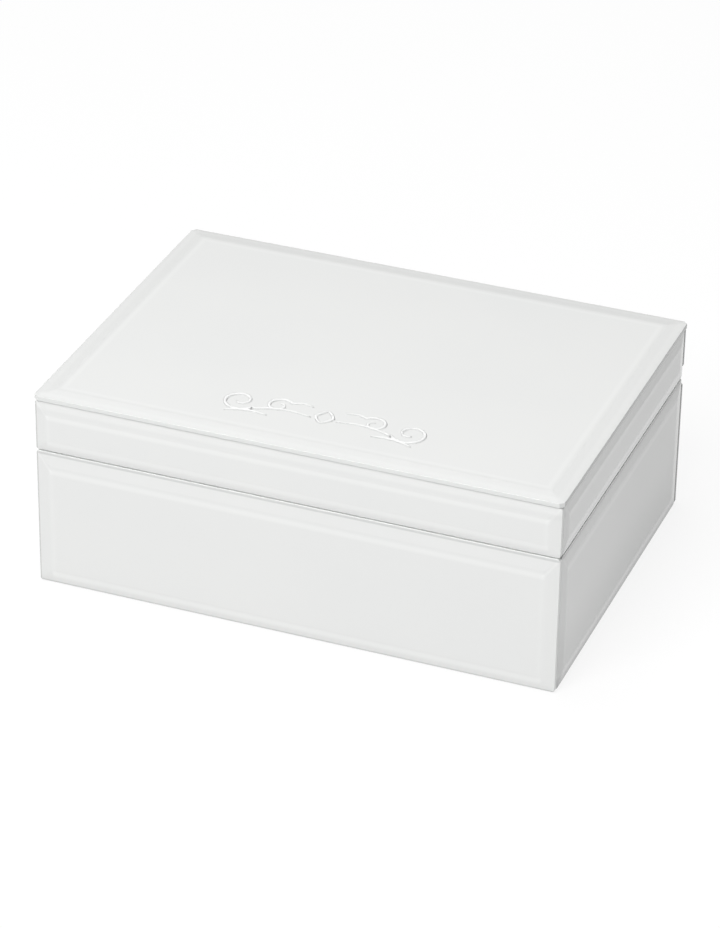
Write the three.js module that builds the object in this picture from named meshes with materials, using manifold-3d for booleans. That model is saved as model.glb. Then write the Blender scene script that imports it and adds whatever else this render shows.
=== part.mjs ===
// Glass-clad jewellery box: a board carcass clad in bevelled, back-painted glass, with a lid on two
// butt hinges and a lift-out tray. Millimetres. +X right, the front faces -Y, +Z up, and the origin is
// the middle of the underside.
import * as THREE from 'three';
import { ConvexGeometry } from 'three/addons/geometries/ConvexGeometry.js';
import { mergeVertices } from 'three/addons/utils/BufferGeometryUtils.js';
import Module from 'manifold-3d';

const wasm = await Module();
wasm.setup();

// ---- driving dimensions ----

const WIDTH = 254; // over the faces of the side glass
const DEPTH = 183; // over the faces of the front and back glass
const HEIGHT = 99; // underside of the felt to the face of the top glass
const SEAM_Z = 70; // where lid and base part
const RIM_GAP = 0.4; // between the two board rims with the lid shut

const GLASS = 3; // pane thickness
const BEVEL_DROP = 0.7; // how far a bevel falls below the pane's face
const BEVEL = { top: 8, lid: 6, base: 7, mirror: 10 }; // bevel widths
const DUB = { top: 2, wall: 0.8 }; // clipped corners of the panes
const GLUE = 0.3; // adhesive behind a pane, and the joint between panes
const SEAM_REVEAL = 0.35; // each pane stops this far from the seam
const HINGE_REVEAL = { lid: 5.1, base: 4.1 }; // the back panes stop further off, for the hinges

const BOARD = 8; // carcass wall
const BOTTOM_BOARD = 5.5;
const TOP_BOARD = 4.5;
const FELT = 1; // felt under the base
const PANE_FOOT = 0.4; // the base panes end this far above the surface that the felt rests on
const FELT_INSET = 4; // from the carcass edge

const LINING = 3; // lower wall lining, whose top edge carries the tray
const LINING_TOP_Z = 40;
const LID_LINING = 1;
const LID_PAD = 2.5;
const FLOOR_PAD = 2.5;
const SOFT_GAP = 0.3; // around soft pieces and between pieces that only rest together
const MIRROR = { width: 176, depth: 112, thickness: 2.7 };

const TRAY = { clearance: 2.2, wall: 4, floor: 2.5, height: 25.7, divider: 3, dividerDrop: 4 };
const RING_ROLL = { count: 4, width: 18, height: 18, joint: 0.3, arcSteps: 12 };
const TRAY_CROSS_X = -40.5; // divider across the front half of the tray
const TRAY_LONG_Y = 5.5; // divider along the tray
const BASE_DIVIDER = { x: 30, height: 27 };
const TAB = { width: 13, thickness: 1, overlap: 4, rise: 5 };

const HINGE = {
  x: 75, // each side of the middle
  width: 26,
  knuckleRadius: 2.2,
  boreRadius: 1.06,
  pinRadius: 1,
  pinHead: { radius: 1.6, length: 0.8 },
  leaf: 0.8,
  leafInset: 1, // from the inner face of the board
  knuckleGap: 0.3,
  middleKnuckle: 9.4,
  clearance: 0.3,
};
const SCREW = {
  spacing: 15,
  headRadius: 1.7,
  shankRadius: 0.9,
  length: 6.5,
  point: 1.2,
  clearance: 0.15,
  sides: 16,
  recess: { length: 2, width: 0.5, depth: 0.4 },
};
const ROUND = 32; // sides of a round piece
const MERGE = 1e-4; // vertices closer than this are one

// ---- planes worked out from them ----

const outerX = WIDTH / 2;
const outerY = DEPTH / 2;
const carcassX = outerX - GLASS - GLUE;
const carcassY = outerY - GLASS - GLUE;
const insideX = carcassX - BOARD;
const insideY = carcassY - BOARD;

const floorZ = FELT + BOTTOM_BOARD;
const baseRimZ = SEAM_Z - RIM_GAP / 2;
const lidRimZ = SEAM_Z + RIM_GAP / 2;
const topGlassZ = HEIGHT - GLASS;
const carcassTopZ = topGlassZ - GLUE;
const ceilingZ = carcassTopZ - TOP_BOARD;

const hingeY = outerY - HINGE.knuckleRadius;
const leafOuterY = hingeY - HINGE.knuckleRadius - HINGE.clearance;
const leafInnerY = insideY + HINGE.leafInset;

// ---- finishes ----

const FINISH = {
  paintedGlass: { color: 0xf6f7f5, roughness: 0.06, metalness: 0 },
  paintedBoard: { color: 0xf2f2ef, roughness: 0.5, metalness: 0 },
  suede: { color: 0xe9e6df, roughness: 0.95, metalness: 0 },
  felt: { color: 0xdcdad4, roughness: 1, metalness: 0 },
  ribbon: { color: 0xf1eee8, roughness: 0.6, metalness: 0 },
  mirror: { color: 0xe8ecec, roughness: 0.02, metalness: 1 },
  nickel: { color: 0xc9c7c2, roughness: 0.28, metalness: 1 },
};

function piece(name, geometry, finish) {
  const mesh = new THREE.Mesh(geometry, new THREE.MeshStandardMaterial(FINISH[finish]));
  mesh.name = name;
  return mesh;
}

function block(name, finish, x, y, z) {
  const mesh = piece(name, new THREE.BoxGeometry(x[1] - x[0], y[1] - y[0], z[1] - z[0]), finish);
  mesh.position.set((x[0] + x[1]) / 2, (y[0] + y[1]) / 2, (z[0] + z[1]) / 2);
  return mesh;
}

// ---- cutting and joining ----

function toSolid(geometry) {
  const bare = geometry.clone();
  bare.deleteAttribute('normal');
  bare.deleteAttribute('uv');
  const merged = mergeVertices(bare, MERGE);
  const vertProperties = new Float32Array(merged.attributes.position.array);
  const triVerts = new Uint32Array(merged.index.array);
  return new wasm.Manifold(new wasm.Mesh({ numProp: 3, vertProperties, triVerts }));
}

function toGeometry(solid) {
  const mesh = solid.getMesh();
  const geometry = new THREE.BufferGeometry();
  geometry.setAttribute('position', new THREE.BufferAttribute(mesh.vertProperties, 3));
  geometry.setIndex(new THREE.BufferAttribute(mesh.triVerts, 1));
  return geometry;
}

function boxSolid(x, y, z) {
  const geometry = new THREE.BoxGeometry(x[1] - x[0], y[1] - y[0], z[1] - z[0]);
  geometry.translate((x[0] + x[1]) / 2, (y[0] + y[1]) / 2, (z[0] + z[1]) / 2);
  return toSolid(geometry);
}

// A round bar along X, centred on the hinge axis.
function barSolid(radius, x) {
  const geometry = new THREE.CylinderGeometry(radius, radius, x[1] - x[0], ROUND);
  geometry.rotateZ(Math.PI / 2);
  geometry.translate((x[0] + x[1]) / 2, hingeY, SEAM_Z);
  return toSolid(geometry);
}

// ---- bevelled panes ----

// A pane lying in XY with its painted back at z = 0: clipped corners, an upright edge, and a bevel up
// to the raised face.
function paneGeometry(length, height, bevel, dub, thickness = GLASS) {
  const halfL = length / 2;
  const halfH = height / 2;
  const points = [];
  for (const sx of [-1, 1]) {
    for (const sy of [-1, 1]) {
      for (const z of [0, thickness - BEVEL_DROP]) {
        points.push(new THREE.Vector3(sx * (halfL - dub), sy * halfH, z));
        points.push(new THREE.Vector3(sx * halfL, sy * (halfH - dub), z));
      }
      points.push(new THREE.Vector3(sx * (halfL - bevel), sy * (halfH - bevel), thickness));
    }
  }
  return new ConvexGeometry(points);
}

// The four walls, each turned so that its own outside is -Y: half length of the pane, distance of its
// painted back from the middle, and turn about Z.
const endsCovered = outerY - GLASS - GLUE;
const endsShown = outerX - BEVEL_DROP;
const WALLS = [
  { side: 'front', half: endsShown, back: outerY - GLASS, turn: 0 },
  { side: 'right', half: endsCovered, back: outerX - GLASS, turn: Math.PI / 2 },
  { side: 'back', half: endsShown, back: outerY - GLASS, turn: Math.PI },
  { side: 'left', half: endsCovered, back: outerX - GLASS, turn: -Math.PI / 2 },
];

function wallPane(part, wall, z, bevel) {
  const pane = piece(
    `${part}_${wall.side}_glass`,
    paneGeometry(2 * wall.half, z[1] - z[0], bevel, DUB.wall),
    'paintedGlass',
  );
  pane.rotation.x = Math.PI / 2;
  pane.position.set(0, -wall.back, (z[0] + z[1]) / 2);
  const turned = new THREE.Group();
  turned.rotation.z = wall.turn;
  turned.add(pane);
  return turned;
}

// ---- hinges ----

// The heights that a leaf, its screws and its recess work from: the base leaf lies flush with the base
// rim and its screws point down; the lid leaf is its mirror image.
const LEAVES = {
  base: { rimZ: baseRimZ, into: -1 },
  lid: { rimZ: lidRimZ, into: 1 },
};

function spanZ(leaf, from, to) {
  const a = leaf.rimZ + leaf.into * from;
  const b = leaf.rimZ + leaf.into * to;
  return [Math.min(a, b), Math.max(a, b)];
}

function knuckleSpans(part, centreX) {
  const inner = HINGE.middleKnuckle / 2;
  const outer = HINGE.width / 2;
  if (part === 'lid') {
    return [[centreX - inner, centreX + inner]];
  }
  const gap = inner + HINGE.knuckleGap;
  return [
    [centreX - outer, centreX - gap],
    [centreX + gap, centreX + outer],
  ];
}

function screwPlaces(centreX) {
  const y = (leafInnerY + leafOuterY) / 2;
  return [-1, 1].map((side) => ({ x: centreX + (side * SCREW.spacing) / 2, y }));
}

// Turned outline of a countersunk screw, with its head's face at z = 0 and its shank going down. The
// hole for it is larger by `grow` all round, and goes on straight above the head.
function screwGeometry(grow = 0) {
  const head = SCREW.headRadius + grow;
  const shank = SCREW.shankRadius + grow;
  const countersink = SCREW.headRadius - SCREW.shankRadius;
  const outline = [
    [0, -SCREW.length - grow],
    [shank, -SCREW.length + SCREW.point - grow],
    [shank, -countersink],
    [head, 0],
  ];
  if (grow > 0) {
    outline.push([head, grow]);
  }
  outline.push([0, grow]);
  const geometry = new THREE.LatheGeometry(outline.map(([r, z]) => new THREE.Vector2(r, z)), SCREW.sides);
  geometry.rotateX(Math.PI / 2);
  return geometry;
}

function placeScrew(geometry, leaf, place) {
  if (leaf.into > 0) {
    geometry.rotateX(Math.PI);
  }
  geometry.translate(place.x, place.y, leaf.rimZ);
  return geometry;
}

function screwSolid(leaf, place) {
  const { length, width, depth } = SCREW.recess;
  const z = spanZ(leaf, -SOFT_GAP, depth);
  const arms = [
    [length / 2, width / 2],
    [width / 2, length / 2],
  ];
  return arms.reduce((solid, [dx, dy]) => {
    const slot = boxSolid([place.x - dx, place.x + dx], [place.y - dy, place.y + dy], z);
    return solid.subtract(slot);
  }, toSolid(placeScrew(screwGeometry(), leaf, place)));
}

function leafSolid(part, centreX) {
  const leaf = LEAVES[part];
  const half = HINGE.width / 2;
  const plateZ = spanZ(leaf, 0, HINGE.leaf);
  let solid = boxSolid([centreX - half, centreX + half], [leafInnerY, leafOuterY], plateZ);
  const webY = [leafOuterY - HINGE.leaf, hingeY - (HINGE.knuckleRadius + HINGE.boreRadius) / 2];
  for (const x of knuckleSpans(part, centreX)) {
    solid = solid.add(boxSolid(x, webY, plateZ)).add(barSolid(HINGE.knuckleRadius, x));
  }
  solid = solid.subtract(barSolid(HINGE.boreRadius, [centreX - HINGE.width, centreX + HINGE.width]));
  for (const place of screwPlaces(centreX)) {
    solid = solid.subtract(toSolid(placeScrew(screwGeometry(SCREW.clearance), leaf, place)));
  }
  return solid;
}

function pinSolid(centreX) {
  const half = HINGE.width / 2 + SOFT_GAP;
  const { radius, length } = HINGE.pinHead;
  return barSolid(HINGE.pinRadius, [centreX - half, centreX + half])
    .add(barSolid(radius, [centreX - half - length, centreX - half]))
    .add(barSolid(radius, [centreX + half, centreX + half + length]));
}

// A back board with a recess for each leaf, room for each barrel, and a pilot hole for each screw.
function backBoard(part, z) {
  const leaf = LEAVES[part];
  const clear = HINGE.clearance;
  let board = boxSolid([-carcassX, carcassX], [insideY, carcassY], z);
  for (const centreX of [-HINGE.x, HINGE.x]) {
    const leafHalf = HINGE.width / 2 + clear;
    const barrelHalf = leafHalf + SOFT_GAP + HINGE.pinHead.length;
    const past = carcassY + clear;
    board = board
      .subtract(boxSolid(
        [centreX - leafHalf, centreX + leafHalf],
        [leafInnerY - clear, past],
        spanZ(leaf, -clear, HINGE.leaf + clear),
      ))
      .subtract(boxSolid(
        [centreX - barrelHalf, centreX + barrelHalf],
        [leafOuterY, past],
        spanZ(leaf, -clear, HINGE.knuckleRadius - RIM_GAP / 2 + clear),
      ));
    for (const place of screwPlaces(centreX)) {
      board = board.subtract(toSolid(placeScrew(screwGeometry(SCREW.clearance), leaf, place)));
    }
  }
  return piece(`${part}_back_board`, toGeometry(board), 'paintedBoard');
}

function hinge(side, centreX) {
  const group = new THREE.Group();
  for (const part of ['base', 'lid']) {
    group.add(piece(`hinge_${side}_${part}_leaf`, toGeometry(leafSolid(part, centreX)), 'nickel'));
    screwPlaces(centreX).forEach((place, i) => {
      const screw = toGeometry(screwSolid(LEAVES[part], place));
      group.add(piece(`hinge_${side}_${part}_screw_${i + 1}`, screw, 'nickel'));
    });
  }
  group.add(piece(`hinge_${side}_pin`, toGeometry(pinSolid(centreX)), 'nickel'));
  return group;
}

// ---- carcass walls ----

// The front and back boards run the full width, and the side boards stand between them.
function carcassWalls(part, z) {
  const front = [-carcassY, -insideY];
  const between = [-insideY, insideY];
  return [
    block(`${part}_front_board`, 'paintedBoard', [-carcassX, carcassX], front, z),
    backBoard(part, z),
    block(`${part}_left_board`, 'paintedBoard', [-carcassX, -insideX], between, z),
    block(`${part}_right_board`, 'paintedBoard', [insideX, carcassX], between, z),
  ];
}

function wallLinings(part, thickness, z) {
  const nearX = insideX - thickness;
  const nearY = insideY - thickness;
  return [
    block(`${part}_front_lining`, 'suede', [-insideX, insideX], [-insideY, -nearY], z),
    block(`${part}_back_lining`, 'suede', [-insideX, insideX], [nearY, insideY], z),
    block(`${part}_left_lining`, 'suede', [-insideX, -nearX], [-nearY, nearY], z),
    block(`${part}_right_lining`, 'suede', [nearX, insideX], [-nearY, nearY], z),
  ];
}

// ---- base ----

function base() {
  const group = new THREE.Group();
  const feltX = carcassX - FELT_INSET;
  const feltY = carcassY - FELT_INSET;
  group.add(block('base_felt', 'felt', [-feltX, feltX], [-feltY, feltY], [0, FELT]));
  group.add(block(
    'base_bottom_board',
    'paintedBoard',
    [-carcassX, carcassX],
    [-carcassY, carcassY],
    [FELT, floorZ],
  ));
  group.add(...carcassWalls('base', [floorZ, baseRimZ]));
  for (const wall of WALLS) {
    const reveal = wall.side === 'back' ? HINGE_REVEAL.base : SEAM_REVEAL;
    group.add(wallPane('base', wall, [PANE_FOOT, SEAM_Z - reveal], BEVEL.base));
  }

  group.add(...wallLinings('base', LINING, [floorZ, LINING_TOP_Z]));
  const padX = insideX - LINING - SOFT_GAP;
  const padY = insideY - LINING - SOFT_GAP;
  const padTop = floorZ + FLOOR_PAD;
  group.add(block('base_floor_pad', 'suede', [-padX, padX], [-padY, padY], [floorZ, padTop]));
  const dividerX = [BASE_DIVIDER.x - TRAY.divider / 2, BASE_DIVIDER.x + TRAY.divider / 2];
  const dividerZ = [padTop + SOFT_GAP, padTop + SOFT_GAP + BASE_DIVIDER.height];
  group.add(block('base_divider', 'suede', dividerX, [-padY, padY], dividerZ));
  return group;
}

// ---- lid ----

function lid() {
  const group = new THREE.Group();
  group.add(...carcassWalls('lid', [lidRimZ, ceilingZ]));
  group.add(block(
    'lid_top_board',
    'paintedBoard',
    [-carcassX, carcassX],
    [-carcassY, carcassY],
    [ceilingZ, carcassTopZ],
  ));
  for (const wall of WALLS) {
    const reveal = wall.side === 'back' ? HINGE_REVEAL.lid : SEAM_REVEAL;
    group.add(wallPane('lid', wall, [SEAM_Z + reveal, carcassTopZ], BEVEL.lid));
  }
  const top = piece('lid_top_glass', paneGeometry(WIDTH, DEPTH, BEVEL.top, DUB.top), 'paintedGlass');
  top.position.z = topGlassZ;
  group.add(top);

  const padZ = ceilingZ - LID_PAD;
  group.add(...wallLinings('lid', LID_LINING, [lidRimZ + SOFT_GAP, padZ - SOFT_GAP]));
  const padX = insideX - SOFT_GAP;
  const padY = insideY - SOFT_GAP;
  group.add(block('lid_lining_pad', 'suede', [-padX, padX], [-padY, padY], [padZ, ceilingZ]));
  const mirror = piece(
    'lid_mirror',
    paneGeometry(MIRROR.width, MIRROR.depth, BEVEL.mirror, DUB.wall, MIRROR.thickness),
    'mirror',
  );
  mirror.rotation.x = Math.PI;
  mirror.position.z = padZ - SOFT_GAP;
  group.add(mirror);
  return group;
}

// ---- tray ----

const trayX = insideX - TRAY.clearance;
const trayY = insideY - TRAY.clearance;
const trayInX = trayX - TRAY.wall;
const trayInY = trayY - TRAY.wall;
const trayZ = LINING_TOP_Z + SOFT_GAP;
const trayFloorTop = trayZ + TRAY.floor;
const trayRimZ = trayZ + TRAY.height;
const ringBayX = trayInX - RING_ROLL.count * RING_ROLL.width - (RING_ROLL.count + 1) * RING_ROLL.joint;

// A foam roll with an upright skirt and a half-round crown, laid along Y.
function ringRoll(index) {
  const half = RING_ROLL.width / 2;
  const outline = new THREE.Shape();
  outline.moveTo(-half, 0);
  outline.lineTo(half, 0);
  outline.lineTo(half, RING_ROLL.height - half);
  outline.absarc(0, RING_ROLL.height - half, half, 0, Math.PI, false);
  outline.lineTo(-half, 0);
  const length = 2 * (trayInY - SOFT_GAP);
  const geometry = new THREE.ExtrudeGeometry(outline, {
    depth: length,
    bevelEnabled: false,
    curveSegments: RING_ROLL.arcSteps,
  });
  geometry.rotateX(Math.PI / 2);
  const roll = piece(`tray_ring_roll_${index + 1}`, geometry, 'suede');
  const pitch = RING_ROLL.width + RING_ROLL.joint;
  roll.position.set(
    ringBayX + RING_ROLL.joint + half + index * pitch,
    length / 2,
    trayFloorTop + SOFT_GAP,
  );
  return roll;
}

function pullTab(side, sign) {
  const wallFace = sign * (trayInX - SOFT_GAP);
  const x = [wallFace, wallFace - sign * TAB.thickness].sort((a, b) => a - b);
  const z = [trayRimZ - TAB.overlap, trayRimZ + TAB.rise];
  return block(`tray_${side}_tab`, 'ribbon', x, [-TAB.width / 2, TAB.width / 2], z);
}

function tray() {
  const group = new THREE.Group();
  const wallZ = [trayFloorTop, trayRimZ];
  group.add(block('tray_floor', 'suede', [-trayX, trayX], [-trayY, trayY], [trayZ, trayFloorTop]));
  group.add(block('tray_front_wall', 'suede', [-trayX, trayX], [-trayY, -trayInY], wallZ));
  group.add(block('tray_back_wall', 'suede', [-trayX, trayX], [trayInY, trayY], wallZ));
  group.add(block('tray_left_wall', 'suede', [-trayX, -trayInX], [-trayInY, trayInY], wallZ));
  group.add(block('tray_right_wall', 'suede', [trayInX, trayX], [-trayInY, trayInY], wallZ));

  const dividerZ = [trayFloorTop, trayRimZ - TRAY.dividerDrop];
  const half = TRAY.divider / 2;
  const ringDividerX = ringBayX - TRAY.divider;
  const longY = [TRAY_LONG_Y - half, TRAY_LONG_Y + half];
  const crossX = [TRAY_CROSS_X - half, TRAY_CROSS_X + half];
  group.add(block('tray_ring_divider', 'suede', [ringDividerX, ringBayX], [-trayInY, trayInY], dividerZ));
  group.add(block('tray_long_divider', 'suede', [-trayInX, ringDividerX], longY, dividerZ));
  group.add(block('tray_cross_divider', 'suede', crossX, [-trayInY, longY[0]], dividerZ));
  for (let i = 0; i < RING_ROLL.count; i += 1) {
    group.add(ringRoll(i));
  }
  group.add(pullTab('left', -1), pullTab('right', 1));
  return group;
}

const jewelleryBox = new THREE.Group();
jewelleryBox.add(base(), lid(), tray(), hinge('left', -HINGE.x), hinge('right', HINGE.x));

export default jewelleryBox;
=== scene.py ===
# A jewellery box clad in bevelled, back-painted glass: materials for the CAD parts, and the soft
# pieces (felt, pads, ring rolls, ribbon tabs) and the lid's scroll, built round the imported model.
# Lengths are in metres, except for the lines on the panes and the scroll's strokes, which say that they
# are in millimetres.
import math

import bmesh
import bpy
from mathutils import Matrix, Vector, noise


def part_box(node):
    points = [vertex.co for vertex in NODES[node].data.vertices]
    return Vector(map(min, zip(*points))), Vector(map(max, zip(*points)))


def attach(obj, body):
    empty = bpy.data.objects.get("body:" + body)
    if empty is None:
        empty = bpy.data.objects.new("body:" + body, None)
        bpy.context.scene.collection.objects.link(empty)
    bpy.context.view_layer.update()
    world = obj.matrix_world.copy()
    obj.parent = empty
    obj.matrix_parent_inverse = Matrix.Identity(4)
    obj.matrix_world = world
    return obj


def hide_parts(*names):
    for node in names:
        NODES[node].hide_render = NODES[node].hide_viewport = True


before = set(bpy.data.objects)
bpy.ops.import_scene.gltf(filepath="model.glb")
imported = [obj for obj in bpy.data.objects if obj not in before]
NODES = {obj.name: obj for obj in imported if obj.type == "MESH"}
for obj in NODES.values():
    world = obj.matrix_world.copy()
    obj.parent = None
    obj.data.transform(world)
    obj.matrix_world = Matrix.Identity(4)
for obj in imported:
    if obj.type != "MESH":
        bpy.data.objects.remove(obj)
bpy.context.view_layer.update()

MM = 0.001

# ---------------------------------------------------------------- camera

CAMERA = {"azimuth": 20.84, "elevation": 30.03, "roll": 0.875, "distance": 1.82, "lens": 150.75}
CAMERA_SLIDE = (-2.54 * MM, -6.41 * MM)  # of the camera across its own view, to the right and up
SENSOR_WIDTH = 36  # mm, which the lens length goes with
AIM_HEIGHT = 49.1 * MM


def place_camera():
    az, el, roll = (math.radians(CAMERA[key]) for key in ("azimuth", "elevation", "roll"))
    back = Vector((math.sin(az) * math.cos(el), -math.cos(az) * math.cos(el), math.sin(el)))
    right = Vector((math.cos(az), math.sin(az), 0))
    up = back.cross(right)
    rolled_right = right * math.cos(roll) + up * math.sin(roll)
    rolled_up = up * math.cos(roll) - right * math.sin(roll)
    place = Vector((0, 0, AIM_HEIGHT)) + back * CAMERA["distance"]
    place += rolled_right * CAMERA_SLIDE[0] + rolled_up * CAMERA_SLIDE[1]
    data = bpy.data.cameras.new("camera")
    data.lens = CAMERA["lens"]
    data.sensor_width = SENSOR_WIDTH
    camera = bpy.data.objects.new("camera", data)
    turn = Matrix((rolled_right, rolled_up, back)).transposed().to_4x4()
    camera.matrix_world = Matrix.Translation(place) @ turn
    bpy.context.scene.collection.objects.link(camera)
    bpy.context.scene.camera = camera


# ---------------------------------------------------------------- material nodes

MIX_COLOUR_INPUTS = (0, 6, 7)  # the Mix node's sockets for its factor and its two colours
MIX_COLOUR_OUTPUT = 2


class Nodes:
    """A material's node tree, with short calls for what the finishes below need."""

    def __init__(self, name, **constants):
        self.material = bpy.data.materials.new(name)
        self.material.use_nodes = True
        self.tree = self.material.node_tree
        self.shader = self.tree.nodes["Principled BSDF"]
        for key, value in constants.items():
            self.shader.inputs[key.replace("_", " ")].default_value = value
        self.place = self.add("ShaderNodeTexCoord").outputs["Object"]

    def add(self, kind, links=None, **settings):
        node = self.tree.nodes.new(kind)
        for key, value in settings.items():
            setattr(node, key, value)
        for key, value in (links or {}).items():
            self.feed(node.inputs[key], value)
        return node

    def feed(self, socket, value):
        if isinstance(value, bpy.types.NodeSocket):
            self.tree.links.new(value, socket)
        else:
            socket.default_value = value

    def math(self, operation, a, b=0.0):
        return self.add("ShaderNodeMath", {0: a, 1: b}, operation=operation).outputs[0]

    def fade(self, value, start, end, low=0.0, high=1.0):
        """A smooth step from low to high as value goes from start to end."""
        links = {"Value": value, "From Min": start, "From Max": end, "To Min": low, "To Max": high}
        return self.add("ShaderNodeMapRange", links, interpolation_type="SMOOTHSTEP").outputs[0]

    def peak(self, value, centre, flat, spread):
        """1 where value is within `flat` of centre, fading to 0 at `spread` from it."""
        off = self.math("ABSOLUTE", self.math("SUBTRACT", value, centre))
        return self.fade(off, flat, spread, low=1.0, high=0.0)

    def total(self, *terms):
        """The sum of (value, weight) pairs."""
        result = 0.0
        for value, weight in terms:
            result = self.math("ADD", self.math("MULTIPLY", value, weight), result)
        return result

    def mix(self, factor, a, b):
        """Colour a where factor is 0 and colour b where it is 1."""
        node = self.add("ShaderNodeMix", data_type="RGBA")
        for socket, value in zip(MIX_COLOUR_INPUTS, (factor, a, b)):
            self.feed(node.inputs[socket], value)
        return node.outputs[MIX_COLOUR_OUTPUT]

    def noise(self, scale, detail=2.0, rough=0.5, stretch=None):
        """Noise from 0 to 1; scale is cells per metre."""
        place = self.place
        if stretch:
            place = self.add("ShaderNodeMapping", {"Vector": place, "Scale": stretch}).outputs[0]
        links = {"Vector": place, "Scale": scale, "Detail": detail, "Roughness": rough}
        return self.add("ShaderNodeTexNoise", links).outputs[0]

    def bump(self, height, strength, depth):
        links = {"Height": height, "Strength": strength, "Distance": depth}
        self.feed(self.shader.inputs["Normal"], self.add("ShaderNodeBump", links).outputs[0])

    def colour(self, value):
        self.feed(self.shader.inputs["Base Color"], value)

    def roughness(self, value):
        self.feed(self.shader.inputs["Roughness"], value)


def tone(red, green, blue):
    return (red, green, blue, 1.0)


# ---------------------------------------------------------------- panes

PAINT = tone(0.715, 0.720, 0.712)
PAINT_CLOUD = tone(0.706, 0.712, 0.706)
STRIP = 0.2  # mm from the outline: the pane's upright ground edge
ARRIS = 0.85  # mm from the outline: the ground arris at a wall pane's foot and a front pane's left end
ARRIS_BLUR = 0.2  # mm over which it fades into the face
# The arris is drawn as a dark band, partly the ground glass's own tone and partly painted shade: darker
# on the side panes than on the front pane, and drawn only at the front pane's left end.
ARRIS_TONES = {"front": tone(0.53, 0.54, 0.53), "other": tone(0.40, 0.41, 0.40)}

# Tones of the clear ground edges, which show what is behind them: a pane's upper edge, its lower edge
# and its two ends. Light gets into the seam through the edges that face each other there, painted in as
# lighter tones; the base panes' lower edges and the top pane's ends are darker, partly as painted shade.
EDGE_TONES = {
    "top": (0.675, 0.675, 0.44),
    "base": (0.80, 0.50, 0.71),
    "lid": (0.66, 0.80, 0.71),
}
BACK_END = 0.17  # the ends of the back panes show the dark joint behind them
GREEN_TINT = 1.015  # clear glass edges are this much stronger in green
CORNER_BLUR = 0.05  # mm over which one edge's tone gives way to the next at a corner

# Where the bright lines lie that light through a bevel's ridge throws on the paint, in mm from the pane's
# edges: painted light, drawn into the colour. Light from above carries them down the walls.
WALL_LINES = {
    "base": {"upper": 9.9, "lower": 4.7, "ends": 7.2},
    "lid": {"upper": 7.6, "lower": 4.3, "ends": 6.2},
}
# Where the top pane's painted bright lines lie and where its bevel's painted shade begins, in mm from its
# edges.
TOP_LINES = {"outer": 2.8, "bevel": 8.0, "inner": 10.6}

# How wide the lines are: to each side of a line's middle, the mm over which it is full and the mm at
# which it has faded out.
LINE_WIDTHS = {
    "ridge": (0.25, 2.3),
    "end_ridge": (0.3, 2.4),
    "mitre": (0.15, 1.3),
    "outer": (0.5, 2.2),
    "inner": (0.2, 1.9),
}
# Where one painted line or painted shade gives way to another, in mm about the lines above.
RIDGE_STOP = (-1.2, 0.2)
MITRE_STOP = (-0.6, 0.4)
MITRE_TOP_BLUR = 0.5
LOWER_SHADE_SHORT = 0.8
END_SHADE_BLUR = 1.5

# Shares of the paint's brightness that each painted line of light or painted shade adds or takes away.
WALL_PAINTED_LIGHT = {"ridge": 0.062, "end_ridge": 0.014, "mitre": 0.045, "lower": -0.065, "end_bevel": -0.014}
TOP_PAINTED_LIGHT = {"outer": 0.024, "inner": 0.026, "bevel": -0.032}

# Peaks across a wall pane's upper bevel, as (mm below its upper edge, flat half, fading half, share): a
# painted reflection of the joint in the base panes, and a painted light band and a painted shade band in
# the lid's.
UPPER_PAINTED_BANDS = {
    "base": ((1.1, 0.15, 0.75, -0.17),),
    "lid": ((2.0, 0.6, 3.0, 0.025), (4.9, 0.4, 2.4, -0.035)),
}
# Under the seam the base panes are in shade: how far down in mm, and by what share.
SEAM_SHADE = {"front": 1.8, "other": 4.0, "share": -0.09}

# The side panes turn away from the light, which is drawn in as painted shade: fades as (from mm, to mm,
# share).
BACKWARD_PAINTED_SHADE = {"base": (0.0, 170.0, -0.14), "lid": (0.0, 170.0, -0.08)}
FOOT_PAINTED_SHADES = ((0.0, 6.5, -0.32), (4.0, 40.0, -0.12))


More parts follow.
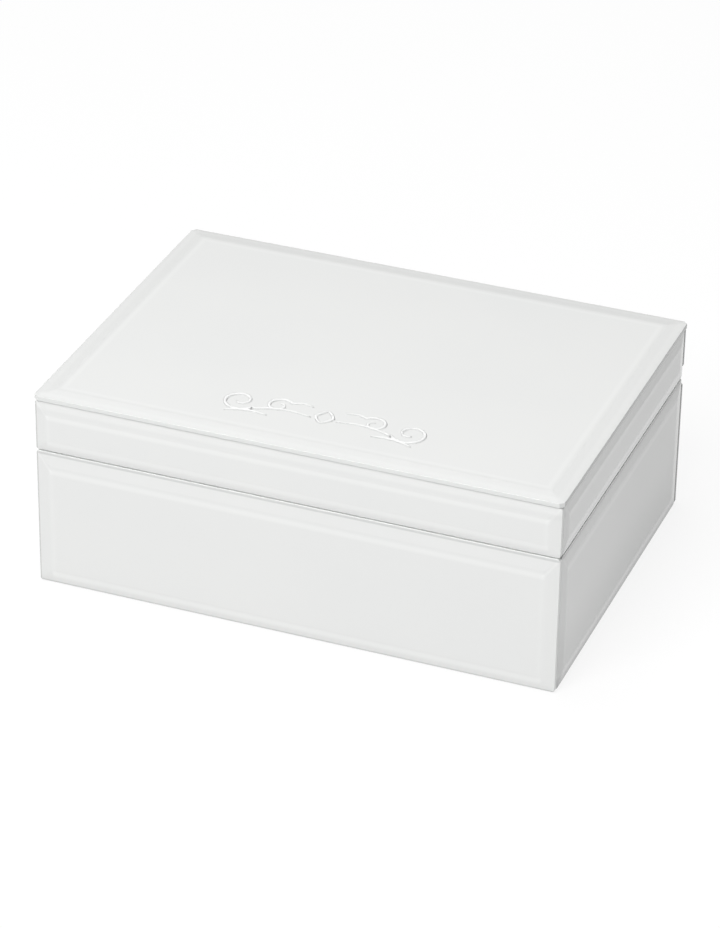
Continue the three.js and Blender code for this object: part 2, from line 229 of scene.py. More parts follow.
def wall_painted_light(nodes, part, side, up, down, ends, first):
    """How much lighter than the paint a wall pane is, as a share; all of it is painted light and painted
    shade:
    bright soft painted lines along its ridge and mitres, an upper bevel painted as catching the light, a
    lower bevel with painted shade that darkens towards its edge, and painted shade on its end bevels. The
    distances are in mm from the upper and lower edges, from the nearer end, and from the first end, which
    is the left or front one. Painted shade darkens the side panes towards the back and the foot."""
    lines = WALL_LINES[part]
    rows = nodes.math("MINIMUM", nodes.math("SUBTRACT", up, lines["upper"]),
                      nodes.math("SUBTRACT", down, lines["lower"]))
    columns = nodes.math("SUBTRACT", ends, lines["ends"])
    inner_rows = nodes.fade(rows, *RIDGE_STOP)
    inner_columns = nodes.fade(columns, *RIDGE_STOP)
    ridge = nodes.peak(rows, 0.0, *LINE_WIDTHS["ridge"])
    end_ridge = nodes.peak(columns, 0.0, *LINE_WIDTHS["end_ridge"])
    slant = nodes.math("MULTIPLY", up, lines["ends"] / lines["upper"])
    mitre = nodes.peak(nodes.math("SUBTRACT", ends, slant), 0.0, *LINE_WIDTHS["mitre"])
    outside = nodes.fade(nodes.math("MINIMUM", rows, columns), *MITRE_STOP, low=1.0, high=0.0)
    near_top = nodes.fade(up, lines["upper"] - MITRE_TOP_BLUR, lines["upper"] + MITRE_TOP_BLUR,
                          low=1.0, high=0.0)
    light = {
        "ridge": nodes.math("MULTIPLY", ridge, inner_columns),
        "end_ridge": nodes.math("MULTIPLY", end_ridge, inner_rows),
        "mitre": nodes.math("MULTIPLY", mitre, nodes.math("MULTIPLY", outside, near_top)),
        "lower": nodes.fade(down, 0.0, lines["lower"] - LOWER_SHADE_SHORT, low=1.0, high=0.0),
        "end_bevel": nodes.fade(first, lines["ends"] - END_SHADE_BLUR, lines["ends"], low=1.0, high=0.0),
    }
    terms = [(light[key], share) for key, share in WALL_PAINTED_LIGHT.items()]
    if side in ("left", "right"):
        start, end, share = BACKWARD_PAINTED_SHADE[part]
        terms.append((nodes.fade(first, start, end), share))
        if part == "base":
            for start, end, share in FOOT_PAINTED_SHADES:
                terms.append((nodes.fade(down, start, end, low=1.0, high=0.0), share))
    for centre, flat, spread, share in UPPER_PAINTED_BANDS[part]:
        terms.append((nodes.peak(up, centre, flat, spread), share))
    if part == "base":
        depth = SEAM_SHADE["front" if side == "front" else "other"]
        terms.append((nodes.fade(up, 0.0, depth, low=1.0, high=0.0), SEAM_SHADE["share"]))
    return nodes.total(*terms)


def top_painted_light(nodes, edge):
    """The same for the top pane: two painted bright lines round it, and a bevel between them with painted
    shade.
    """
    light = {
        "outer": nodes.peak(edge, TOP_LINES["outer"], *LINE_WIDTHS["outer"]),
        "inner": nodes.peak(edge, TOP_LINES["inner"], *LINE_WIDTHS["inner"]),
        "bevel": nodes.fade(edge, TOP_LINES["bevel"], TOP_LINES["inner"], low=1.0, high=0.0),
    }
    return nodes.total(*[(light[key], share) for key, share in TOP_PAINTED_LIGHT.items()])


def pane_material(name):
    """Glossy clear glass over white paint, with the bright lines and shades that its bevel throws on the
    paint drawn into its colour as painted light and painted shade, and ground edges that are darker than
    the face."""
    part, side = ("top", "top") if name == "lid_top_glass" else name.split("_")[:2]
    low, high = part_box(name)
    size = high - low
    thin = min(range(3), key=lambda axis: size[axis])
    across, along = [axis for axis in range(3) if axis != thin]
    nodes = Nodes("painted_glass_" + name, IOR=1.5)
    parts = nodes.add("ShaderNodeSeparateXYZ", {0: nodes.place}).outputs

    def inset(axis, from_low):
        """Millimetres in from the low or the high edge that axis crosses."""
        ends = (parts[axis], low[axis]) if from_low else (high[axis], parts[axis])
        return nodes.math("MULTIPLY", nodes.math("SUBTRACT", *ends), 1 / MM)

    first = inset(across, True)
    ends = nodes.math("MINIMUM", first, inset(across, False))
    up, down = inset(along, False), inset(along, True)
    rows = nodes.math("MINIMUM", up, down)
    edge = nodes.math("MINIMUM", ends, rows)
    # The bevel's painted light and painted shade, as a share of the paint's brightness.
    if part == "top":
        light = top_painted_light(nodes, edge)
    else:
        light = wall_painted_light(nodes, part, side, up, down, ends, first)

    cloud = nodes.fade(nodes.noise(14, detail=3), 0.3, 0.7)
    paint = nodes.mix(cloud, PAINT, PAINT_CLOUD)
    scaled = nodes.add("ShaderNodeVectorMath", {0: paint, "Scale": nodes.math("ADD", light, 1.0)},
                       operation="SCALE").outputs[0]
    greys = list(EDGE_TONES[part])
    if side == "back":
        greys[-1] = BACK_END
    upper, lower, end = (tone(grey, grey * GREEN_TINT, grey) for grey in greys)
    ends_beyond_rows = nodes.math("SUBTRACT", ends, rows)
    at_ends = nodes.fade(ends_beyond_rows, -CORNER_BLUR, CORNER_BLUR, low=1.0, high=0.0)
    at_foot = nodes.fade(nodes.math("SUBTRACT", up, down), -CORNER_BLUR, CORNER_BLUR)
    edge_tone = nodes.mix(at_ends, nodes.mix(at_foot, upper, lower), end)
    ground = [down] if part == "base" else []
    if side == "front":
        ground.append(first)
    arris_tone = ARRIS_TONES["front" if side == "front" else "other"]
    for inward in ground:
        at_arris = nodes.fade(inward, ARRIS - ARRIS_BLUR, ARRIS, low=1.0, high=0.0)
        scaled = nodes.mix(at_arris, scaled, arris_tone)
    strip = nodes.fade(edge, STRIP / 2, STRIP, low=1.0, high=0.0)
    nodes.colour(nodes.mix(strip, scaled, edge_tone))
    wiped = nodes.noise(45, detail=4, rough=0.6)
    nodes.roughness(nodes.fade(wiped, 0.35, 0.75, low=0.03, high=0.09))
    nodes.bump(nodes.noise(9, detail=1), strength=0.15, depth=0.3 * MM)
    return nodes.material


# ---------------------------------------------------------------- other finishes


def board_material():
    """White satin paint, rolled on fibreboard, with a fine orange peel."""
    nodes = Nodes("painted_board")
    grain = nodes.noise(900, detail=3)
    mottle = nodes.noise(60, detail=3)
    nodes.colour(nodes.mix(mottle, tone(0.735, 0.735, 0.72), tone(0.775, 0.775, 0.765)))
    nodes.roughness(nodes.fade(grain, 0.3, 0.7, low=0.42, high=0.58))
    nodes.bump(grain, strength=0.25, depth=0.08 * MM)
    return nodes.material


def suede_material(name, dark, light):
    """Short-nap suede cloth: soft patches where the nap lies another way, over brushed streaks and
    fine pile."""
    nodes = Nodes(name, Sheen_Weight=0.35, Sheen_Roughness=0.45, Specular_IOR_Level=0.15)
    patches = nodes.fade(nodes.noise(45, detail=4, rough=0.6), 0.3, 0.7)
    streaks = nodes.noise(240, detail=3, rough=0.6, stretch=(1, 2.5, 1))
    pile = nodes.noise(2600, detail=4, rough=0.75)
    nodes.colour(nodes.mix(nodes.total((patches, 0.3), (streaks, 0.3), (pile, 0.4)), dark, light))
    nodes.roughness(nodes.fade(pile, 0.2, 0.8, low=0.86, high=1.0))
    nodes.bump(pile, strength=0.55, depth=0.35 * MM)
    return nodes.material


def felt_material():
    """Pressed felt: tangled fibres, long in every direction."""
    nodes = Nodes("felt", Sheen_Weight=0.2, Sheen_Roughness=0.6, Specular_IOR_Level=0.1)
    fibres = nodes.noise(700, detail=6, rough=0.8, stretch=(1, 4, 1))
    crossing = nodes.noise(700, detail=6, rough=0.8, stretch=(4, 1, 1))
    tangle = nodes.math("MAXIMUM", fibres, crossing)
    nodes.colour(nodes.mix(tangle, tone(0.52, 0.51, 0.48), tone(0.76, 0.75, 0.71)))
    nodes.roughness(nodes.fade(tangle, 0.4, 0.8, low=0.9, high=1.0))
    nodes.bump(tangle, strength=0.8, depth=0.4 * MM)
    return nodes.material


def ribbon_material():
    """Satin ribbon: fine warp threads along its length, crossed by the weft at the edges."""
    nodes = Nodes("ribbon", Sheen_Weight=0.3, Sheen_Roughness=0.3, Anisotropic=0.5)
    threads = {"Vector": nodes.place, "Scale": 900.0, "Distortion": 0.4, "Detail": 1.0}
    warp = nodes.add("ShaderNodeTexWave", threads, bands_direction="Y").outputs[1]
    weft = nodes.add("ShaderNodeTexWave", {**threads, "Scale": 700.0}, bands_direction="Z").outputs[1]
    cloth = nodes.math("ADD", nodes.math("MULTIPLY", warp, 0.7), nodes.math("MULTIPLY", weft, 0.3))
    nodes.colour(nodes.mix(cloth, tone(0.70, 0.67, 0.62), tone(0.86, 0.84, 0.80)))
    nodes.roughness(nodes.fade(cloth, 0.0, 1.0, low=0.34, high=0.5))
    nodes.bump(cloth, strength=0.4, depth=0.08 * MM)
    return nodes.material


def mirror_material():
    """Silvered glass, with the faint haze that wiping leaves."""
    nodes = Nodes("mirror", Metallic=1.0)
    haze = nodes.fade(nodes.noise(30, detail=5, rough=0.65), 0.5, 0.8)
    nodes.colour(nodes.mix(haze, tone(0.90, 0.925, 0.92), tone(0.86, 0.88, 0.875)))
    nodes.roughness(nodes.math("MULTIPLY", haze, 0.06))
    return nodes.material


def nickel_material():
    """Nickel plate over drawn steel: faint lines along the hinge, and duller where fingers rub."""
    nodes = Nodes("nickel", Metallic=1.0)
    lines = nodes.noise(120, detail=3, rough=0.6, stretch=(1, 18, 18))
    wear = nodes.fade(nodes.noise(160, detail=3), 0.4, 0.7)
    nodes.colour(nodes.mix(wear, tone(0.74, 0.725, 0.69), tone(0.66, 0.645, 0.61)))
    nodes.roughness(nodes.math("ADD", nodes.total((lines, 0.10), (wear, 0.08)), 0.20))
    nodes.bump(lines, strength=0.06, depth=0.02 * MM)
    return nodes.material


def frost_material():
    """The ground surface of the scroll, which scatters light instead of mirroring it."""
    nodes = Nodes("frosted_line", Specular_IOR_Level=0.3)
    grain = nodes.noise(3500, detail=3, rough=0.7)
    nodes.colour(nodes.mix(grain, tone(0.745, 0.75, 0.745), tone(0.79, 0.795, 0.79)))
    nodes.roughness(nodes.fade(grain, 0.2, 0.8, low=0.5, high=0.75))
    nodes.bump(grain, strength=0.4, depth=0.03 * MM)
    return nodes.material


def scroll_shadow_material():
    """A painted shadow beside each ground line of the scroll: a darker tone set off to one side of it."""
    nodes = Nodes("scroll_painted_shadow", IOR=1.5)
    grain = nodes.noise(2200, detail=3, rough=0.7)
    nodes.colour(nodes.mix(grain, tone(0.60, 0.607, 0.60), tone(0.64, 0.647, 0.64)))
    nodes.roughness(nodes.fade(grain, 0.2, 0.8, low=0.2, high=0.35))
    return nodes.material


SUEDE = suede_material("suede", tone(0.60, 0.565, 0.515), tone(0.76, 0.73, 0.685))
PAD_SUEDE = suede_material("suede_pad", tone(0.62, 0.585, 0.535), tone(0.79, 0.76, 0.715))
BOARD, FELT, RIBBON = board_material(), felt_material(), ribbon_material()
MIRROR, NICKEL = mirror_material(), nickel_material()
FROST, SCROLL_SHADOW = frost_material(), scroll_shadow_material()

# ---------------------------------------------------------------- CAD parts


def plain_shading():
    """A modifier's nodes that shade a part smooth and drop the faceted normals stored with it. The
    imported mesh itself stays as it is."""
    group = bpy.data.node_groups.new("plain_shading", "GeometryNodeTree")
    for way in ("INPUT", "OUTPUT"):
        group.interface.new_socket("Geometry", in_out=way, socket_type="NodeSocketGeometry")
    geometry = group.nodes.new("NodeGroupInput").outputs[0]
    for extra in ("custom_normal", "sharp_edge"):
        drop = group.nodes.new("GeometryNodeRemoveAttribute")
        drop.inputs["Name"].default_value = extra
        group.links.new(geometry, drop.inputs["Geometry"])
        geometry = drop.outputs["Geometry"]
    smooth = group.nodes.new("GeometryNodeSetShadeSmooth")
    group.links.new(geometry, smooth.inputs["Geometry"])
    group.links.new(smooth.outputs["Geometry"], group.nodes.new("NodeGroupOutput").inputs[0])
    return group


PLAIN_SHADING = plain_shading()

WELD_GAP = 0.001 * MM
FLAT_DEGREES = 0.5  # faces that turn by less than this are joined
NORMAL_WEIGHT = 100  # large faces decide the shading of the small ones beside them

# How the edges of each kind of CAD part are rounded: the bevel's width, the least turn in degrees of an
# edge that gets one, the segments across it, and whether the flats shade quite flat.
ROUNDING = {
    "glass": {"width": 0.22 * MM, "turn": 3.0},
    "mirror": {"width": 0.15 * MM, "turn": 3.0},
    "hinge": {"width": 0.05 * MM, "turn": 25.0, "hard": True},
    "board": {"width": 0.4 * MM},
    "cloth": {"width": 0.8 * MM, "segments": 3},
}


def soften(node, width, turn=30.0, segments=2, hard=False):
    """Rounds a CAD part's edges for the eye: welds its faces into one skin, joins the flat ones, and
    bevels the edges that turn enough."""
    node.modifiers.new("plain", "NODES").node_group = PLAIN_SHADING
    node.modifiers.new("weld", "WELD").merge_threshold = WELD_GAP
    flat = node.modifiers.new("flat", "DECIMATE")
    flat.decimate_type = "DISSOLVE"
    flat.angle_limit = math.radians(FLAT_DEGREES)
    bevel = node.modifiers.new("bevel", "BEVEL")
    bevel.width = width
    bevel.segments = segments
    bevel.limit_method = "ANGLE"
    bevel.angle_limit = math.radians(turn)
    if hard:
        bevel.harden_normals = True
    else:
        node.modifiers.new("normals", "WEIGHTED_NORMAL").weight = NORMAL_WEIGHT


def kind_of(name):
    """The kind of CAD part that a node is, going by its name."""
    if name == "lid_mirror":
        return "mirror"
    if name.startswith("hinge_"):
        return "hinge"
    last_word = name.split("_")[-1]
    return last_word if last_word in ("glass", "board") else "cloth"


def finish_cad_parts():
    materials = {"mirror": MIRROR, "hinge": NICKEL, "board": BOARD, "cloth": SUEDE}
    for name, node in NODES.items():
        kind = kind_of(name)
        node.data.materials.clear()
        node.data.materials.append(pane_material(name) if kind == "glass" else materials[kind])
        soften(node, **ROUNDING[kind])


# ---------------------------------------------------------------- soft pieces

CURL_DEGREES = (0, 25, 50, 70, 90)  # where a pad's rounded edge has its points
SKIRT = 0.5  # share of a pad's thickness that its sides rise before they curl over
PAD_EDGE = 1.1 * MM  # radius of that curl
PAD_PITCH = 3 * MM  # between the points of a pad's top
FELT_SHAPE = {"edge": 0.45 * MM, "pitch": 4 * MM, "ripple": 0.04 * MM, "ripple_size": 9 * MM}
FLOOR_SHAPE = {"reach": 9 * MM, "swell": 0.6 * MM, "pressed": 0.25 * MM,
               "ripple": 0.16 * MM, "ripple_size": 24 * MM}
LID_SHAPE = {"reach": 8 * MM, "swell": 1.5 * MM, "ripple": 0.25 * MM, "ripple_size": 21 * MM}


def mesh_piece(name, vertices, faces, material, body):
    mesh = bpy.data.meshes.new(name)
    mesh.from_pydata([tuple(v) for v in vertices], [], faces)
    mesh.validate()
    mesh.polygons.foreach_set("use_smooth", [True] * len(mesh.polygons))
    mesh.materials.append(material)
    piece = bpy.data.objects.new(name, mesh)
    bpy.context.scene.collection.objects.link(piece)
    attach(piece, body)
    return piece


def stations(low, high, radius, pitch):
    """Places along one side of a slab: crowded round both rounded edges and evenly spread between."""
    curl = [radius * (1 - math.cos(math.radians(angle))) for angle in CURL_DEGREES]
    count = max(2, round((high - low - 2 * radius) / pitch))
    inner = [low + radius + (high - low - 2 * radius) * i / count for i in range(1, count)]
    return [low + c for c in curl] + inner + [high - c for c in reversed(curl)]


def slab(name, low, high, radius, pitch, height, material, body):
    """A closed pad on a flat underside. Its sides rise half its thickness and then curl over into the
    top, whose height above the curl is height(x, y, inset)."""
    xs = stations(low.x, high.x, radius, pitch)
    ys = stations(low.y, high.y, radius, pitch)
    thick = high.z - low.z
    skirt = SKIRT * thick
    rows, columns = len(ys), len(xs)
    vertices = []
    for y in ys:
        for x in xs:
            inset = min(x - low.x, high.x - x, y - low.y, high.y - y)
            t = min(inset / radius, 1.0)
            curl = math.sqrt(max(0.0, 1 - (1 - t) ** 2))
            z = low.z + skirt + (thick - skirt) * curl + height(x, y, inset)
            vertices.append(Vector((x, y, z)))
    vertices += [Vector((v.x, v.y, low.z)) for v in vertices]
    under = rows * columns
    faces = []
    for j in range(rows - 1):
        for i in range(columns - 1):
            a = j * columns + i
            faces.append((a, a + 1, a + columns + 1, a + columns))
            faces.append((under + a, under + a + columns, under + a + columns + 1, under + a + 1))
    ring = list(range(columns))
    ring += [j * columns + columns - 1 for j in range(1, rows)]
    ring += [(rows - 1) * columns + i for i in reversed(range(columns - 1))]
    ring += [j * columns for j in reversed(range(1, rows - 1))]
    for a, b in zip(ring, ring[1:] + ring[:1]):
        faces.append((a, under + a, under + b, b))
    return mesh_piece(name, vertices, faces, material, body)


def ripple(x, y, size, seed):
    return noise.noise(Vector((x / size, y / size, seed)))


def share_of(distance, reach):
    """0 up to the edge, rising evenly to 1 at `reach` from it."""
    return min(max(distance, 0.0) / reach, 1.0)


def dome(share):
    """The same rise along a curve that is steep at the edge and level at the top."""
    return share * (2 - share)


def base_felt():
    low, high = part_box("base_felt")

    def height(x, y, inset):
        return FELT_SHAPE["ripple"] * ripple(x, y, FELT_SHAPE["ripple_size"], 1.0)

    piece = slab("felt_pad", low, high, FELT_SHAPE["edge"], FELT_SHAPE["pitch"], height,
                 FELT, "base")
    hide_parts("base_felt")


def floor_pad():
    """The foam-backed lining of the lower compartment: it swells between its edges and the divider."""
    low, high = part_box("base_floor_pad")
    divider_low, divider_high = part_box("base_divider")
    divider = (divider_low.x + divider_high.x) / 2

    def height(x, y, inset):
        beside = share_of(abs(x - divider), FLOOR_SHAPE["reach"])
        edge = share_of(inset, FLOOR_SHAPE["reach"])
        swell = FLOOR_SHAPE["swell"] * dome(edge) * dome(beside)
        wave_height = FLOOR_SHAPE["ripple"] * ripple(x, y, FLOOR_SHAPE["ripple_size"], 2.0) * edge
        return swell + wave_height - FLOOR_SHAPE["pressed"] * (1 - beside)

    piece = slab("floor_lining", low, high, PAD_EDGE, PAD_PITCH, height, PAD_SUEDE, "base")
    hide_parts("base_floor_pad")


def lid_pad():
    """The padded lining under the lid, drawn in round the mirror that is stuck to it. It is made like
    the others, lying on z = 0, and then turned over and hung from the lid."""
    low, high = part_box("lid_lining_pad")
    mirror_low, mirror_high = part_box("lid_mirror")
    thick = high.z - low.z

    def height(x, y, inset):
        beyond_x = max(mirror_low.x - x, x - mirror_high.x)
        beyond_y = max(mirror_low.y - y, y - mirror_high.y)
        edge = share_of(inset, LID_SHAPE["reach"])
        drawn = share_of(max(beyond_x, beyond_y), LID_SHAPE["reach"])
        swell = LID_SHAPE["swell"] * dome(edge) * dome(drawn)
        return swell + LID_SHAPE["ripple"] * ripple(x, y, LID_SHAPE["ripple_size"], 3.0) * edge * drawn

    piece = slab("lid_pad", Vector((low.x, low.y, 0)), Vector((high.x, high.y, thick)),
                 PAD_EDGE, PAD_PITCH, height, PAD_SUEDE, "lid")
    for vertex in piece.data.vertices:
        vertex.co = Vector((vertex.co.x, -vertex.co.y, high.z - vertex.co.z))
    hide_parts("lid_lining_pad")


# ---- ring rolls, swollen by cloth simulation

ROLL_COUNT = 4
ROLL_START = 0.6 * MM  # how much smaller than its place a roll starts, on every side but the foot
ROLL_END = 3.2 * MM  # rounding of a roll's two ends
ROLL_PITCH = 3.4 * MM  # between the rings of its mesh
ROLL_FACETS = {"foot": 6, "side": 4, "crown": 14}  # faces across each stretch of its outline
ROLL_CAP = (0.62, 0.25)  # sizes of the rings that close an end, as shares of the end's outline
ROLL_FRAMES = 18  # of the simulation
ROLL_PRESSURE = 3.0
ROLL_SWELL = 0.55 * MM  # the most that any point moves in it
CREASE = {"depth": 0.22 * MM, "length": 11 * MM, "seed": 5.0}  # soft waves along the crown
SWAY = {"depth": 0.10 * MM, "length": 8 * MM, "seed": 9.0}  # and in the sides


def roll_outline(low, high):
    """A roll's section across its length: a flat foot, upright sides and a round crown."""
    foot, side, crown = (ROLL_FACETS[key] for key in ("foot", "side", "crown"))
    radius = (high.x - low.x) / 2 - ROLL_START
    middle = (low.x + high.x) / 2
    shoulder = high.z - ROLL_START - radius
    rise = [(shoulder - low.z) * i / side for i in range(1, side)]
    arc = [math.pi * i / crown for i in range(crown + 1)]
    outline = [(middle - radius + 2 * radius * i / foot, low.z) for i in range(foot + 1)]
    outline += [(middle + radius, low.z + step) for step in rise]
    outline += [(middle + radius * math.cos(a), shoulder + radius * math.sin(a)) for a in arc]
    outline += [(middle - radius, shoulder - step) for step in rise]
    return outline


def roll_rings(low, high):
    """The (y, size) of each ring along a roll, sizes being shares of its outline: the rings that close
    each end, and between them the rings whose sizes round the ends off."""
    half = (high.x - low.x) / 2

    def size(inset):
        t = min(inset / ROLL_END, 1.0)
        return 1 - (ROLL_END / half) * (1 - math.sqrt(1 - (1 - t) ** 2))

    ys = stations(low.y + ROLL_START, high.y - ROLL_START, ROLL_END, ROLL_PITCH)
    cap = [size(0.0) * share for share in ROLL_CAP]
    body = [(y, size(min(y - ys[0], ys[-1] - y))) for y in ys]
    return [(ys[0], share) for share in reversed(cap)] + body + [(ys[-1], share) for share in cap]


def roll_form(low, high, name):
    """The foam core of one ring roll, with rounded ends."""
    outline = roll_outline(low, high)
    count = len(outline)
    rings = roll_rings(low, high)
    middle = Vector(((low.x + high.x) / 2, (low.z + high.z) / 2))
    vertices = []
    for y, size in rings:
        for x, z in outline:
            vertices.append((middle.x + (x - middle.x) * size, y, middle.y + (z - middle.y) * size))
    faces = [tuple(reversed(range(count)))]
    for ring in range(len(rings) - 1):
        for i in range(count):
            a, b = ring * count + i, ring * count + (i + 1) % count
            faces.append((a, b, b + count, a + count))
    last = (len(rings) - 1) * count
    faces.append(tuple(range(last, last + count)))
    mesh = bpy.data.meshes.new(name)
    mesh.from_pydata(vertices, [], faces)
    mesh.validate()
    piece = bpy.data.objects.new(name, mesh)
    bpy.context.scene.collection.objects.link(piece)
    tidy_normals(piece)
    return piece


def baked_mesh(piece):
    """The piece's mesh with its modifiers applied."""
    bpy.context.view_layer.update()
    graph = bpy.context.evaluated_depsgraph_get()
    return bpy.data.meshes.new_from_object(piece.evaluated_get(graph))


def swell(piece, pressure, most):
    """Blows the piece up as stretched cloth, and keeps each point within `most` of where it was."""
    rest = [v.co.copy() for v in piece.data.vertices]
    cloth = piece.modifiers.new("cloth", "CLOTH")
    cloth.settings.use_pressure = True
    cloth.settings.uniform_pressure_force = pressure
    cloth.settings.effector_weights.gravity = 0
    cloth.point_cache.frame_start = 1
    cloth.point_cache.frame_end = ROLL_FRAMES
    for step in range(1, ROLL_FRAMES + 1):
        bpy.context.scene.frame_set(step)
    blown = baked_mesh(piece)
    piece.modifiers.clear()
    for vertex, start in zip(blown.vertices, rest):
        move = vertex.co - start
        if move.length > most:
            vertex.co = start + move * (most / move.length)
    piece.data = blown
    bpy.context.scene.frame_set(1)


def ring_roll(index):
    node = f"tray_ring_roll_{index}"
    low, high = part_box(node)
    piece = roll_form(low, high, f"ring_roll_{index}")
    swell(piece, ROLL_PRESSURE, ROLL_SWELL)
    for vertex in piece.data.vertices:
        place = vertex.co
        lift = min(max((place.z - low.z) / (high.z - low.z), 0.0), 1.0)
        crease = ripple(place.y, place.x, CREASE["length"], CREASE["seed"] + index)
        place.z += CREASE["depth"] * crease * lift
        place.x += SWAY["depth"] * ripple(place.y, place.z, SWAY["length"], SWAY["seed"] + index)
        place.x = min(max(place.x, low.x), high.x)
        place.y = min(max(place.y, low.y), high.y)
        place.z = max(place.z, low.z)
    smooth = piece.modifiers.new("smooth", "SUBSURF")
    smooth.levels = smooth.render_levels = 1
    piece.data = baked_mesh(piece)
    piece.modifiers.clear()
    piece.data.polygons.foreach_set("use_smooth", [True] * len(piece.data.polygons))
    piece.data.materials.clear()
    piece.data.materials.append(PAD_SUEDE)
    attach(piece, "tray")
    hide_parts(node)


# ---- ribbon tabs

RIBBON_THICK = 0.4 * MM
RIBBON_LOOP = 1.15 * MM  # radius of the fold at the top
RIBBON_LOOP_IN = 0.55  # how far the fold's middle stands off the wall, as a share of that radius
RIBBON_BACK_IN = 1.7  # how far the second leg stands off the wall, in ribbon thicknesses
RIBBON_NECK = 3 * MM  # between the top of the legs and the middle of the fold
RIBBON_LEG_POINTS = 4
RIBBON_TURN_DEGREES = range(-30, 211, 15)  # round the fold
RIBBON_POINTS = 7  # across the ribbon's width


def ribbon_line(low_z, high_z, outer):
    """The middle of the ribbon's thickness as (x, z) points: up the wall, over and down again."""
    centre_z = high_z - RIBBON_LOOP
    leg_rise = centre_z - RIBBON_NECK - low_z
    heights = [low_z + leg_rise * i / RIBBON_LEG_POINTS for i in range(RIBBON_LEG_POINTS)]
    line = [(outer - RIBBON_THICK / 2, z) for z in heights]
    for degrees in RIBBON_TURN_DEGREES:
        angle = math.radians(degrees)
        x = outer - RIBBON_LOOP * RIBBON_LOOP_IN + RIBBON_LOOP * math.cos(angle)
        line.append((x, centre_z + RIBBON_LOOP * math.sin(angle)))
    return line + [(outer - RIBBON_THICK * RIBBON_BACK_IN, z) for z in reversed(heights)]


def ribbon_tab(side, sign):
    """A hairpin of ribbon: up the tray wall's inner face, over in a round loop and down again."""
    node = f"tray_{side}_tab"
    low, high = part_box(node)
    line = ribbon_line(low.z, high.z, max(abs(low.x), abs(high.x)))
    half = (high.y - low.y) / 2
    across = [-half + 2 * half * i / (RIBBON_POINTS - 1) for i in range(RIBBON_POINTS)]
    vertices, faces = [], []
    for i, (x, z) in enumerate(line):
        ahead, behind = line[min(i + 1, len(line) - 1)], line[max(i - 1, 0)]
        tangent = Vector((ahead[0] - behind[0], ahead[1] - behind[1])).normalized()
        normal = Vector((-tangent.y, tangent.x)) * (RIBBON_THICK / 2)
        for offset in (normal, -normal):
            for y in across:
                vertices.append((sign * (x + offset.x), y, z + offset.y))
    around = 2 * RIBBON_POINTS
    ring = list(range(RIBBON_POINTS)) + list(reversed(range(RIBBON_POINTS, around)))
    for i in range(len(line) - 1):
        here, ahead = i * around, (i + 1) * around
        for a, b in zip(ring, ring[1:] + ring[:1]):
            faces.append((here + a, here + b, ahead + b, ahead + a))
    last = (len(line) - 1) * around
    faces.append(tuple(reversed(ring)))
    faces.append(tuple(last + a for a in ring))
    piece = mesh_piece(f"ribbon_tab_{side}", vertices, faces, RIBBON, "tray")
    tidy_normals(piece)
    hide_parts(node)


def tidy_normals(piece):
    work = bmesh.new()
    work.from_mesh(piece.data)
    bmesh.ops.recalc_face_normals(work, faces=work.faces)
    work.to_mesh(piece.data)
    work.free()


# ---------------------------------------------------------------- scroll on the lid

SCROLL_MIDDLE = Vector((3 * MM, -60.5 * MM))
SCROLL_RISE = 0.20 * MM
SCROLL_WIDTH = 0.80 * MM  # half width of the stroke at its fullest
SHADOW_RISE = 0.05 * MM
SHADOW_OFFSET = Vector((0.42 * MM, -0.75 * MM))  # of the painted shadow beside each stroke, set off towards the front and the right
SCROLL_LIFT = 0.01 * MM  # off the pane, so that the two faces never lie in one plane
SECTION = ((-1, 0), (-0.6, 0.8), (0, 1), (0.6, 0.8), (1, 0))  # across a stroke, and its height there
TAPER = 0.06  # a stroke's width follows the root of a half wave, cut short by this share at each end
SPIRAL_STEPS = 34
BOW_STEPS = 22


def spiral(centre, start_angle, sweep, start_radius, end_radius):
    points = []
    for i in range(SPIRAL_STEPS + 1):
        t = i / SPIRAL_STEPS
        angle = math.radians(start_angle + sweep * t)
        radius = start_radius + (end_radius - start_radius) * t
        points.append(Vector(centre) + radius * Vector((math.cos(angle), math.sin(angle))))
    return points


def bow(start, end, height):
    """A curve from start to end that swings out to `height` on its left and back."""
    start, end = Vector(start), Vector(end)
    side = Vector((start.y - end.y, end.x - start.x)).normalized()
    shares = [i / BOW_STEPS for i in range(BOW_STEPS + 1)]
    return [start.lerp(end, t) + side * height * math.sin(math.pi * t) for t in shares]


def scroll_strokes():
    """Strokes of a plain scroll, in millimetres about its middle. On each side a long bow runs out into
    a spiral, with a smaller curl above it and a leaf below; a lozenge stands between the sides."""
    long_bow = bow((6, -2), (33.5, -4.4), 2.6)
    long_curl = spiral((41, 0.6), start_angle=213, sweep=450, start_radius=9, end_radius=2.2)
    short_bow = bow((8, 7), (18, 6.4), 1.2)
    short_curl = spiral((23, 2.4), start_angle=141, sweep=-410, start_radius=6.4, end_radius=1.6)
    leaf = bow((25, -8), (45, -10.2), 2)
    half_lozenge = bow((0, 5.6), (4.2, 0), 0.5) + bow((4.2, 0), (0, -5.6), 0.5)[1:]
    half = [long_bow + long_curl, short_bow + short_curl, leaf, half_lozenge]
    return [[Vector((side * p.x, p.y)) for p in stroke] for side in (-1, 1) for stroke in half]


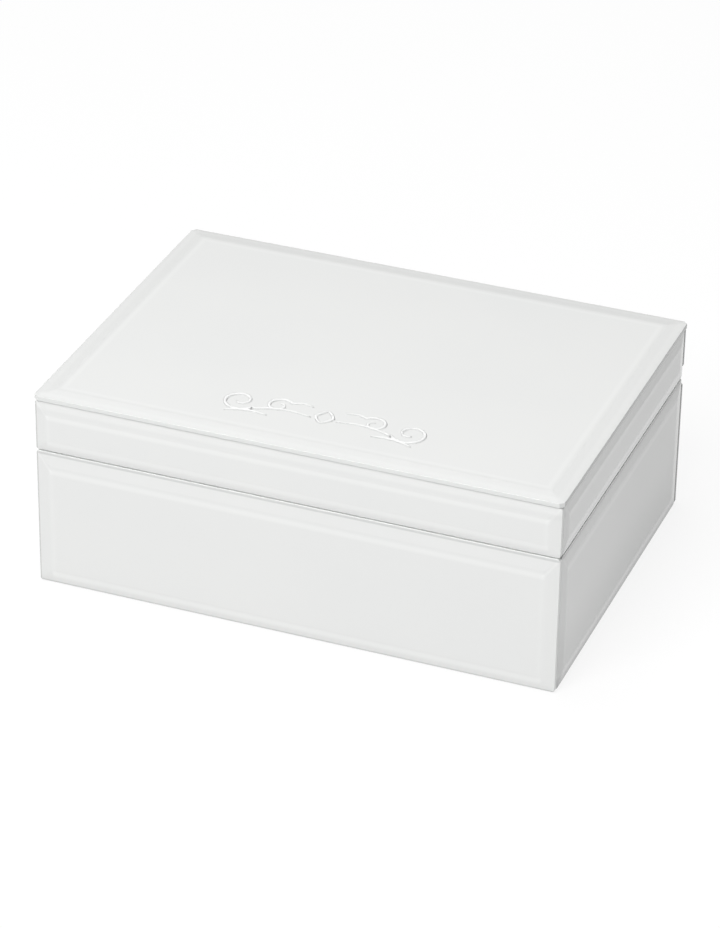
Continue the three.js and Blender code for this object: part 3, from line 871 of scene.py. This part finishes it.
def stroke_mesh(points, offset, width, rise, vertices, faces, top):
    """A low rounded ridge along the points, thin at both ends."""
    count = len(points)
    first = len(vertices)
    across_count = len(SECTION)
    for i, point in enumerate(points):
        ahead, behind = points[min(i + 1, count - 1)], points[max(i - 1, 0)]
        tangent = (ahead - behind).normalized()
        normal = Vector((-tangent.y, tangent.x))
        along = TAPER + (1 - 2 * TAPER) * i / (count - 1)
        share = math.sqrt(math.sin(math.pi * along))
        for across, lift in SECTION:
            place = SCROLL_MIDDLE + offset + point * MM + normal * (across * share * width)
            vertices.append((place.x, place.y, top + lift * rise * share))
    for i in range(count - 1):
        for k in range(across_count):
            a = first + i * across_count + k
            b = first + i * across_count + (k + 1) % across_count
            faces.append((a, b, b + across_count, a + across_count))
    last = first + (count - 1) * across_count
    faces.append(tuple(first + k for k in reversed(range(across_count))))
    faces.append(tuple(last + k for k in range(across_count)))


def lid_scroll():
    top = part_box("lid_top_glass")[1].z + SCROLL_LIFT
    for index, stroke in enumerate(scroll_strokes()):
        vertices, faces = [], []
        # The painted shadow: a low, darker copy of the stroke, set off to one side under it.
        stroke_mesh(stroke, SHADOW_OFFSET, SCROLL_WIDTH, SHADOW_RISE, vertices, faces, top)
        shadow_faces = len(faces)
        stroke_mesh(stroke, Vector((0, 0)), SCROLL_WIDTH, SCROLL_RISE, vertices, faces, top)
        piece = mesh_piece(f"lid_scroll_{index + 1}", vertices, faces, FROST, "lid")
        piece.data.materials.append(SCROLL_SHADOW)
        for face in piece.data.polygons[:shadow_faces]:
            face.material_index = 1
        tidy_normals(piece)


# ---------------------------------------------------------------- studio

KEY = {"place": (-0.3, -1.8, 2.0), "size": 1.6, "watts": 59.0}
OVERHEAD = {"place": (-0.3, 0.25, 2.2), "size": 2.0, "watts": 26.0}
SKY = {"horizon": 0.04, "zenith": 0.34}  # brightness of the surroundings
SKY_FULL = 0.8  # upward share of the direction from which the sky is at its brightest
FLOOR_GLOW = 0.84  # the floor is a light table, lit from below
FLOOR_TONE = 0.14
FLOOR_MOTTLE = 0.004  # how far its tone strays each way
FLOOR_SIZE = 8


def soft_lamp(name, place, size, watts):
    data = bpy.data.lights.new(name, "AREA")
    data.shape = "SQUARE"
    data.size = size
    data.energy = watts
    lamp = bpy.data.objects.new(name, data)
    lamp.location = place
    lamp.visible_camera = False
    aim = Vector((0, 0, AIM_HEIGHT)) - Vector(place)
    lamp.rotation_euler = aim.to_track_quat("-Z", "Y").to_euler()
    bpy.context.scene.collection.objects.link(lamp)


def surroundings():
    """A pale sky that is darker near the horizon."""
    world = bpy.data.worlds.new("studio")
    world.use_nodes = True
    tree = world.node_tree
    direction = tree.nodes.new("ShaderNodeTexCoord").outputs["Generated"]
    parts = tree.nodes.new("ShaderNodeSeparateXYZ")
    rise = tree.nodes.new("ShaderNodeMapRange")
    rise.inputs["From Max"].default_value = SKY_FULL
    rise.inputs["To Min"].default_value = SKY["horizon"]
    rise.inputs["To Max"].default_value = SKY["zenith"]
    tree.links.new(direction, parts.inputs[0])
    tree.links.new(parts.outputs["Z"], rise.inputs["Value"])
    tree.links.new(rise.outputs[0], tree.nodes["Background"].inputs["Strength"])
    tree.nodes["Background"].inputs["Color"].default_value = (1, 1, 1, 1)
    return world


def studio():
    scene = bpy.context.scene
    scene.view_settings.view_transform = "Standard"
    scene.world = surroundings()
    soft_lamp("key", **KEY)
    soft_lamp("top", **OVERHEAD)
    bpy.ops.mesh.primitive_plane_add(size=FLOOR_SIZE)
    floor = bpy.context.object
    floor.name = "floor"
    nodes = Nodes("floor", Specular_IOR_Level=0.0, Emission_Color=tone(1, 1, 1),
                  Emission_Strength=FLOOR_GLOW)
    pale, paler = (tone(*[FLOOR_TONE + shift] * 3) for shift in (-FLOOR_MOTTLE, FLOOR_MOTTLE))
    nodes.colour(nodes.mix(nodes.noise(3, detail=2), pale, paler))
    nodes.roughness(1.0)
    floor.data.materials.append(nodes.material)


place_camera()
studio()
finish_cad_parts()
base_felt()
floor_pad()
lid_pad()
for roll in range(1, ROLL_COUNT + 1):
    ring_roll(roll)
ribbon_tab("left", -1)
ribbon_tab("right", 1)
lid_scroll()
